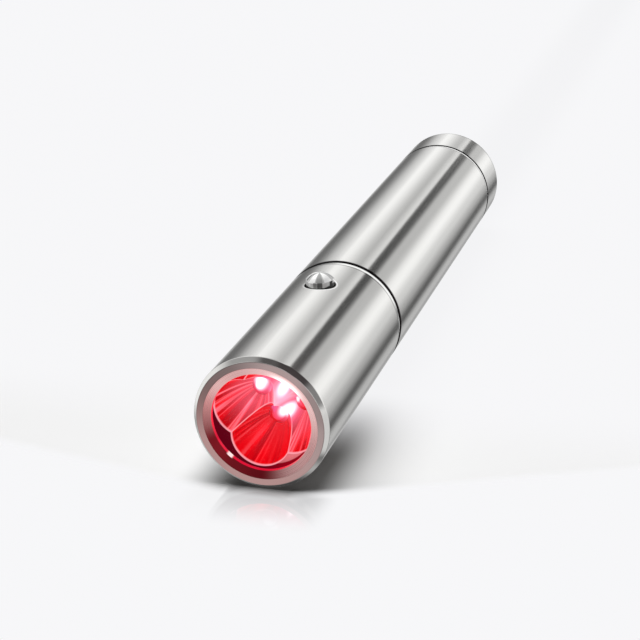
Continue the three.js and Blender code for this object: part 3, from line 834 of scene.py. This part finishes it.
def cornerTurns():
    # Directions from a cup's middle to the outer ends of its two ridges
    foot = math.sqrt(cups["mouth"] ** 2 - cups["diagonal"] ** 2)
    pair = (math.atan2(foot, -cups["diagonal"]), math.atan2(-cups["diagonal"], foot))
    return [turn % (2 * math.pi) for turn in pair]


def cupQuarter():
    # A fan of rows from the lamp hole to the cup's mouth, or to the ridge that it shares with a neighbour
    bm = bmesh.new()
    front, back = cups["front"], cups["front"] + cups["depth"]
    flangeBack = front + cups["flange"]
    diagonal, arms = cups["diagonal"], cups["arms"]
    turns = sorted([2 * math.pi * (k / arms) for k in range(arms)] + cornerTurns())
    c, s = cups["ridge"]

    def vertex(u, v, depth=None):
        # u and v lie along the cup's two ridges, from the wand's axis
        x, z = u * c - v * s, u * s + v * c
        if depth is None:
            depth = front + cupDepthAt(x, z)
        return bm.verts.new(at(x, depth, z))

    rows = []
    for turn in turns:
        du, dv = math.cos(turn), math.sin(turn)
        toRidge = min([-diagonal / d for d in (du, dv) if d < -tiny] + [math.inf])
        reach = min(cups["mouth"], toRidge)
        row = []
        for share in cups["steps"]:
            radius = cups["hole"] + (reach - cups["hole"]) * share
            row.append((diagonal + radius * du, diagonal + radius * dv))
        u, v = row[-1]
        line = [vertex(*row[0], back)] + [vertex(*point) for point in row[1:]]
        if cups["mouth"] <= toRidge + tiny:
            fromAxis = math.hypot(u, v)
            gap = cups["radius"] - fromAxis
            for step in cups["landSteps"]:
                near = 1 + min(step, 0.4 * gap) / fromAxis
                line.append(vertex(u * near, v * near))
            for radius, depth in ((cups["radius"], front), (cups["radius"], flangeBack),
                                  (cups["body"], flangeBack), (cups["body"], back)):
                line.append(vertex(u * radius / fromAxis, v * radius / fromAxis, depth))
        rows.append((line, vertex(u, v, back)))
    for (line, foot), (nextLine, nextFoot) in zip(rows, rows[1:] + rows[:1]):
        shared = min(len(line), len(nextLine))
        for a in range(shared - 1):
            bm.faces.new((line[a], line[a + 1], nextLine[a + 1], nextLine[a]))
        outer = line[-1] if len(line) > len(cups["steps"]) else foot
        nextOuter = nextLine[-1] if len(nextLine) > len(cups["steps"]) else nextFoot
        bm.faces.new((line[0], outer, nextOuter, nextLine[0]))
    loose = [vert for vert in bm.verts if not vert.link_faces]
    bmesh.ops.delete(bm, geom=loose, context="VERTS")
    return meshPiece("quadReflector", bm, 40)


# The reflector's colours are painted lamp light, in its emission and base colour: a red glow, streaks and a
# pink veil of light, highlight lines along the ridges and mouths, and glows where the lamps' light strikes.
platingPaintedLight = {
    "deep": (0.42, 0, 0.004),
    "mid": (0.72, 0, 0.005),
    "streak": (1, 0.24, 0.3),
    "veil": (1, 0.22, 0.32),
    "line": (1, 0.42, 0.48),
    # the lands between the cups' mouths and the rim: painted shade, darker to the left and low, paler to the
    # right, with a painted shadow band near the window's edge
    "landPaintedShade": (0.12, 0, 0.007),
    "landPaintedLight": (0.72, 0.17, 0.19),
    "landPaintedShadow": (0.3, 0, 0.008),
    "lobe": (0.8, 0.1, 0.34),
    "halo": (1, 0.14, 0.3),
    "core": (2.6, 2.2, 2.4),
    "pinks": (0.12, 0.95, 0.8, 1),  # how pale the streaks are in each cup, from the lowest one on
    "wide": (3.4, 3.4, 1),  # streaks across twice and along the cups
    "fine": (8.5, 8.5, 1.2),
    "shift": (6.2, 10.6),  # parts the streaks of neighbouring cups
    "wall": 0.06,  # soft edge at the cups' mouth
    "ridge": (0.16, 0.04),  # half width of the painted highlight lines along the ridges and round the mouths
    "mouth": (0.14, 0.04),
    "landRing": (9.15, 9.3),
    "landUp": (1, 5),
    "landAcross": (-2, 4),
    # where the lamps' light strikes the walls, painted as glows: across and up from the axis, reach, strength
    "glows": [
        (0.4, 1.2, 2.4, 0.42), (1.2, -2.4, 1.42, 1), (-3.4, 2.9, 1.4, 1), (0.5, 1.8, 1.1, 0.9),
        (3.4, -0.1, 0.7, 0.6),
    ],
    "lobes": [(-1.6, 1.6, 1.1), (1.1, 0.5, 1.1), (-1.1, -2.1, 0.9)],
}


def struck(graph, x, z, red, where=1):
    # the glows of the lamps' light laid over a colour, with magenta between them
    for across, up, size in platingPaintedLight["lobes"]:
        away = graph.length(x - across, z - up)
        red = graph.mix(graph.smooth(away, size, size * 0.4) * where * 0.8, red, platingPaintedLight["lobe"])
    for across, up, size, strength in platingPaintedLight["glows"]:
        away = graph.length(x - across, z - up)
        halo = graph.smooth(away, size * 2.4, size * 0.6) * where * strength
        core = graph.smooth(away, size * 1.3, 0) * where * strength
        red = graph.mix(halo * 0.8, red, platingPaintedLight["halo"])
        red = graph.mix(core, red, platingPaintedLight["core"])
    return red


def litPlating(graph, place):
    x, y, z = graph.parts(place)
    mouth = cups["mouth"]
    u, v = alongRidges(x, z)
    foldU, foldV = abs(u), abs(v)
    du, dv = foldU - cups["diagonal"], foldV - cups["diagonal"]
    reach = graph.length(du, dv)
    # the cup in which a point lies, and how pale its streaks are
    uSide, vSide = graph.smooth(u, -0.01, 0.01), graph.smooth(v, -0.01, 0.01)
    lowest, right, top, left = platingPaintedLight["pinks"]
    pale = vSide * (uSide * lowest + (1 - uSide) * right) + (1 - vSide) * (uSide * left + (1 - uSide) * top)
    share = graph.smooth(y, cups["front"], cups["front"] + cups["depth"])
    # painted streaks of the lamps' light run along the cups, from the lamps to the window
    uShift, vShift = platingPaintedLight["shift"]
    quarter = graph.vector(uSide * uShift, vSide * vShift, 0)
    spoke = graph.vector(du / reach, dv / reach, share * 0.25)
    wide, fine = [
        graph.noise(graph.vectorMaths("ADD", graph.vectorMaths("MULTIPLY", spoke, scales), quarter))
        for scales in (platingPaintedLight["wide"], platingPaintedLight["fine"])]
    streak = graph.smooth(wide * 0.4 + fine * 0.6 + pale * 0.055, 0.53, 0.68)
    deep = graph.smooth(wide * 0.6 + fine * 0.4, 0.52, 0.4)
    ridge = graph.smooth(foldU.maths("MINIMUM", foldV), *platingPaintedLight["ridge"])
    edge = graph.smooth(abs(reach - mouth), *platingPaintedLight["mouth"])
    onWall = graph.smooth(reach, mouth + platingPaintedLight["wall"], mouth - platingPaintedLight["wall"])
    line = (ridge * onWall).maths("MAXIMUM", edge)
    # painted red glow, streaks, veil and highlight lines of the lamps' light
    red = graph.mix(deep, platingPaintedLight["mid"], platingPaintedLight["deep"])
    red = graph.mix(streak * (0.1 + pale * 0.8), red, platingPaintedLight["streak"])
    red = graph.mix(pale * share * 0.34, red, platingPaintedLight["veil"])
    # painted shade and light on the lands, and a painted shadow band near the window's edge
    band = graph.smooth(graph.length(x, z), *platingPaintedLight["landRing"])
    right = graph.mix(band, platingPaintedLight["landPaintedLight"], platingPaintedLight["landPaintedShadow"])
    land = graph.mix(graph.smooth(z, *platingPaintedLight["landUp"]), platingPaintedLight["landPaintedShade"], platingPaintedLight["mid"])
    land = graph.mix(graph.smooth(x, *platingPaintedLight["landAcross"]), land, right)
    red = graph.mix(onWall, land, red)
    red = graph.mix(line * 0.8, red, platingPaintedLight["line"])
    red = struck(graph, x, z, red, onWall)
    return {
        "Base Color": graph.mix(0.3, black, red),
        "Emission Color": red,
        "Roughness": 0.2 + (fine - 0.5) * 0.1,
    }


reflectorPlatingPaintedGlow = finish(
    "reflectorPlatingPaintedGlow", litPlating,
    Metallic=1, Specular_Tint=(1, 0.03, 0.05), Emission_Strength=1,
)
ring = {"Count": cups["count"], "Join distance": 10 * joinGap}
reflector = grown(cupQuarter(), roundTree("four cups", reflectorPlatingPaintedGlow), ring, 40)
dress(reflector, reflectorPlatingPaintedGlow, "head", "reflector_plating", "reflector")

lamp = {
    "width": 3.45,
    "base": 14.6,
    "top": 14,
    "dome": 1.25,
    "sides": 32,
    "edge": 0.12,
    "rings": 10,
    "core": (1.3, 0.3),  # distance from the dome's middle at which its bright core starts and is full
    "glow": (0.95, 0.03, 0.06),
    "skin": (0.12, 0.01, 0.01),
    "coreSkin": (0.3, 0.02, 0.03),
    "ahead": 0.85,  # the domes stand behind the walls that share a glow, so their part of it is moved
}


def firstLamp():
    turn = math.radians(cups["turn"])
    x, z = cups["circle"] * math.cos(turn), cups["circle"] * math.sin(turn)
    bm = bmesh.new()
    middle = (lamp["base"] + lamp["top"]) / 2
    size = Matrix.Diagonal((lamp["width"] * mm, (lamp["base"] - lamp["top"]) * mm, lamp["width"] * mm, 1))
    bmesh.ops.create_cube(bm, size=1, matrix=Matrix.Translation(at(x, middle, z)) @ size)
    upright = [edge for edge in bm.edges if abs(edge.verts[0].co.y - edge.verts[1].co.y) > 0.1 * mm]
    bmesh.ops.bevel(bm, geom=upright, offset=lamp["edge"] * mm, segments=3, affect="EDGES", profile=0.5)
    profile = [(0, middle), (lamp["dome"], middle)]
    for k in range(lamp["rings"], -1, -1):
        angle = math.pi / 2 * k / lamp["rings"]
        profile.append((lamp["dome"] * math.sin(angle), lamp["top"] - lamp["dome"] * math.cos(angle)))

    def lampPoint(radius, turn, depth):
        return at(x + radius * math.cos(turn), depth, z + radius * math.sin(turn))

    dome = turned("dome", profile, lamp["sides"], False, lampPoint)
    bm.from_mesh(dome.data)
    bpy.data.objects.remove(dome)
    return meshPiece("lamps", bm)


def litDome(graph, place):
    x, y, z = graph.parts(place)
    u, v = [abs(side) - cups["diagonal"] for side in alongRidges(x, z)]
    core = graph.smooth(graph.length(u, v), *lamp["core"])
    lit = graph.mix(core, platingPaintedLight["mid"], lamp["glow"])
    return {
        "Base Color": graph.mix(core, lamp["skin"], lamp["coreSkin"]),
        "Emission Color": struck(graph, x + lamp["ahead"], z + lamp["ahead"], lit),
        "Roughness": 0.45 - core * 0.3,
    }


lampGlow = finish("lampGlow", litDome, Specular_IOR_Level=0.1, Emission_Strength=1)
ring["Join distance"] = joinGap
lamps = grown(firstLamp(), roundTree("four lamps", lampGlow), ring)
dress(lamps, lampGlow, "head", "lamp", "led_1", "led_2", "led_3", "led_4")
print("window, reflector and lamps ready")


# Battery tube and tail cap

tube = {
    "corners": [
        # front edge and the bevel at the rear seam
        (11.3, 51.95), (wand["radius"], 51.95, 0.12), (wand["radius"], 141.6, 0.06), (12.6, 142.55, 0.06),
        # rear socket, bore and front socket
        (11.3, 142.55), (11.3, 133.85), (9.7, 133.85), (9.7, 60.5), (11.3, 60.5),
    ],
}
tail = {
    "corners": [
        # bore
        (0, 148), (9.6, 148), (9.6, 134.35, 0.15),
        # spigot with the groove of its seal
        (11, 134.35, 0.3), (11, 140.85, 0.1), (9.8, 140.85), (9.8, 142.35), (11, 142.35, 0.1),
        (11, 142.85),
        # outer face and end
        (wand["radius"], 142.85, 0.12), (wand["radius"], 155, 0.45), (0, 155),
    ],
}
dress(lathe("barrelShell", tube["corners"]), steelTube, "battery_tube", "steel_tube", "battery_tube")
dress(lathe("tailShell", tail["corners"], False), steelTube, "tail_cap", "steel_tube", "tail_cap")

# Screw threads of the two joints. Those in the tube lie half a turn off those on the spigots.
thread = {
    "pitch": 1.0,
    "size": 0.24,
    "spread": 2.0,
    "pointsPerTurn": 64,
    # foot and turns
    "head": (54.2, 4.5),
    "cap": (135.0, 5.0),
    # radius, shift along the wand, turn of the section and how far the ends sink
    "spigot": (10.94, 0.0, 0.0, 0.3),
    "tube": (11.34, 0.5, math.pi, -0.3),
}


def threadSizes(joint, side):
    (foot, turns), (radius, shift, swing, sink) = thread[joint], thread[side]
    return {
        "Start radius": radius, "End radius": radius, "Foot": foot + shift,
        "Length": turns * thread["pitch"] + 2 * thread["size"], "Turns": turns, "Wire": thread["size"],
        "Sides": 3, "Spread": thread["spread"], "Section turn": swing, "Sink": sink,
        "Points": int(turns * thread["pointsPerTurn"]),
    }


threads = coilTree("thread", steelTube)
for name, joint, side, body in (
    ("headThread", "head", "spigot", "head"),
    ("capThread", "cap", "spigot", "tail_cap"),
    ("tubeThreadFront", "head", "tube", "battery_tube"),
    ("tubeThreadRear", "cap", "tube", "battery_tube"),
):
    coil(name, threads, threadSizes(joint, side), body, "steel_tube")
print("tubes and threads ready")


# Finishes of the inside

def moulded(dark, pale, grain, rough):
    def build(graph, place):
        speckle = graph.speckle(place, (grain,) * 3, 3)
        cloud = graph.speckle(place, (0.4,) * 3, 1)
        return {
            "Base Color": graph.mix(speckle * 0.6 + cloud * 0.4, dark, pale),
            "Roughness": rough + (speckle - 0.5) * 0.12,
            "Normal": graph.bump(speckle, 4e-6),
        }
    return build


def turnedMetal(dark, pale, rough):
    # fine rings of the lathe round the wand's axis
    def build(graph, place):
        x, y, z = graph.parts(place)
        rings = graph.noise(graph.vector(graph.length(x, z) * 7, y * 7, 0))
        stain = graph.speckle(place, (0.5,) * 3)
        return {
            "Base Color": graph.mix(rings * 0.5 + stain * 0.5, dark, pale),
            "Roughness": rough + (rings - 0.5) * 0.16,
            "Normal": graph.bump(rings, 3e-6),
        }
    return build


def solderMask(graph, place):
    x, y, z = graph.parts(place)
    weave = graph.maths("SINE", x * 16) * graph.maths("SINE", z * 16)
    cloud = graph.speckle(place, (0.9,) * 3)
    track = graph.speckle(place, (0.55, 0.2, 0.55), 0)
    copper = graph.smooth((track * 9).maths("FRACT"), 0.62, 0.7)
    mask = graph.mix(cloud, (0.035, 0.17, 0.085), (0.07, 0.27, 0.15))
    return {
        "Base Color": graph.mix(copper * 0.35, mask, (0.16, 0.42, 0.22)),
        "Roughness": 0.32 + (cloud - 0.5) * 0.1,
        "Normal": graph.bump(weave * 0.2 + copper, 1.2e-5),
    }


def copperCoil(graph, place):
    x, y, z = graph.parts(place)
    winding = graph.maths("SINE", y * 24) * 0.5 + 0.5
    return {
        "Base Color": graph.mix(winding, (0.3, 0.09, 0.03), (0.78, 0.36, 0.18)),
        "Roughness": 0.42 - winding * 0.12,
        "Normal": graph.bump(winding, 3e-5),
    }


def shrunkSleeve(graph, place):
    x, y, z = graph.parts(place)
    ripple = graph.speckle(place, (0.5, 0.15, 0.5))
    scuff = graph.speckle(place, (3, 0.4, 3), 3)
    bare = graph.smooth(graph.length(x, z), 8.3, 8.1)
    film = graph.mix(scuff, (0.09, 0.24, 0.46), (0.14, 0.34, 0.6))
    return {
        "Base Color": graph.mix(bare, film, (0.7, 0.7, 0.68)),
        "Metallic": bare,
        "Roughness": 0.3 + (scuff - 0.5) * 0.14,
        "Normal": graph.bump(ripple, 6e-5),
    }


plainSteel = finish("plainSteel", turnedMetal((0.62, 0.62, 0.6), (0.8, 0.8, 0.78), 0.24), Metallic=1)
turnedBrass = finish("turnedBrass", turnedMetal((0.62, 0.45, 0.2), (0.86, 0.7, 0.4), 0.3), Metallic=1)
sealRubber = finish("sealRubber", moulded((0.02, 0.02, 0.022), (0.045, 0.045, 0.048), 6, 0.62))
greySilicone = finish(
    "greySilicone", moulded((0.5, 0.51, 0.52), (0.66, 0.67, 0.68), 3, 0.48),
    Subsurface_Weight=0.25, Subsurface_Scale=0.001,
)
whitePlastic = finish("whitePlastic", moulded((0.8, 0.79, 0.75), (0.9, 0.89, 0.86), 5, 0.45))
blackPlastic = finish("blackPlastic", moulded((0.025, 0.025, 0.028), (0.06, 0.06, 0.064), 5, 0.5))
leadRed = finish("leadRed", moulded((0.42, 0.02, 0.02), (0.62, 0.05, 0.05), 4, 0.4))
leadBlack = finish("leadBlack", moulded((0.015, 0.015, 0.015), (0.04, 0.04, 0.04), 4, 0.4))
circuitBoard = finish("circuitBoard", solderMask)
coilCopper = finish("coilCopper", copperCoil, Metallic=0.8)
cellWrap = finish("cellWrap", shrunkSleeve)

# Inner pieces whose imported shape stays, by finish
keptNodes = {
    plainSteel: ("board_screw_1", "board_screw_2", "battery_terminal"),
    turnedBrass: ("heat_sink", "tail_ring", "front_contact"),
    sealRubber: ("lens_gasket",),
    whitePlastic: ("led_spacer", "battery_insulator", "tact_plunger"),
    blackPlastic: ("electronics_carrier", "tact_switch"),
    leadRed: ("led_lead_positive",),
    leadBlack: ("led_lead_negative",),
    circuitBoard: ("led_board", "driver_board", "switch_board", "tail_board"),
    coilCopper: ("driver_coil",),
}
for material, names in keptNodes.items():
    for name in names:
        coat(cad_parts[name].data, material)

# Seals, return dome, cell and springs

seal = {
    "wire": 0.65,
    "radius": 10.55,
    "wireSides": 24,
    "sides": 128,
}
for name, depth, body, node in (
    ("headSeal", 52.75, "head_seal", "head_oring"),
    ("capSeal", 141.6, "cap_seal", "cap_oring"),
):
    section = []
    for k in range(seal["wireSides"]):
        angle = 2 * math.pi * k / seal["wireSides"]
        across, along = seal["wire"] * math.cos(angle), seal["wire"] * math.sin(angle)
        section.append((seal["radius"] + across, depth + along))
    dress(turned(name, section, seal["sides"]), sealRubber, body, "seal_rubber", node)

# A skirt with a flange at its foot, round the switch and under the button. Its corners have heights too.
dome = {
    "foot": 5.1,
    "corners": [
        (3.45, 5.1, 0.06), (3.93, 5.1, 0.06), (3.93, 5.6, 0.1), (3.57, 5.75, 0.1), (3.2, 7.15, 0.3),
        (2.9, 7.7, 0.15), (2.9, 8.895, 0.15), (1.6, 8.895, 0.1), (1.6, 8.345, 0.1), (2.35, 8.345, 0.1),
        (2.35, 7.7, 0.1), (2.65, 7.15, 0.2),
    ],
    "sides": 64,
}
skirt = lathe("returnDome", dome["corners"], True, dome["sides"], buttonPoint)
dress(skirt, greySilicone, "head", "silicone", "return_dome")
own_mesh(skirt)

cell = {
    "corners": [
        # bare foot, sleeve and the groove in it
        (0, 67.06), (8.35, 67.06, 0.1), (9.16, 67.06, 0.5), (9.16, 69.05, 0.2), (8.76, 69.435, 0.15),
        (8.76, 69.765, 0.15), (9.16, 70.15, 0.2),
        # sunk head
        (9.16, 135.69, 0.5), (8, 135.69, 0.1), (7.8, 135.54, 0.05), (0, 135.54),
    ],
    "sides": 128,
}
sleeved = lathe("sleevedCell", cell["corners"], False, cell["sides"])
dress(sleeved, cellWrap, "battery_tube", "cell_wrap", "battery_can")

springs = {
    "both": {"Flat turns": 0.75, "Sides": 14, "Points": 400, "Spread": 1.0},
    "frontCoil": {
        "Foot": 60.05, "Length": 5.6, "Start radius": 3.8, "End radius": 1.6, "Wire": 0.4, "Turns": 4.5},
    "tailCoil": {
        "Foot": 135.75, "Length": 10.95, "Start radius": 2.5, "End radius": 5.9, "Wire": 0.5, "Turns": 6.5},
}
coils = coilTree("spring", turnedBrass)
for name, body, node in (("frontCoil", "head", "front_spring"), ("tailCoil", "tail_cap", "tail_spring")):
    coil(name, coils, {**springs["both"], **springs[name]}, body, "brass", node)
print("inside ready")
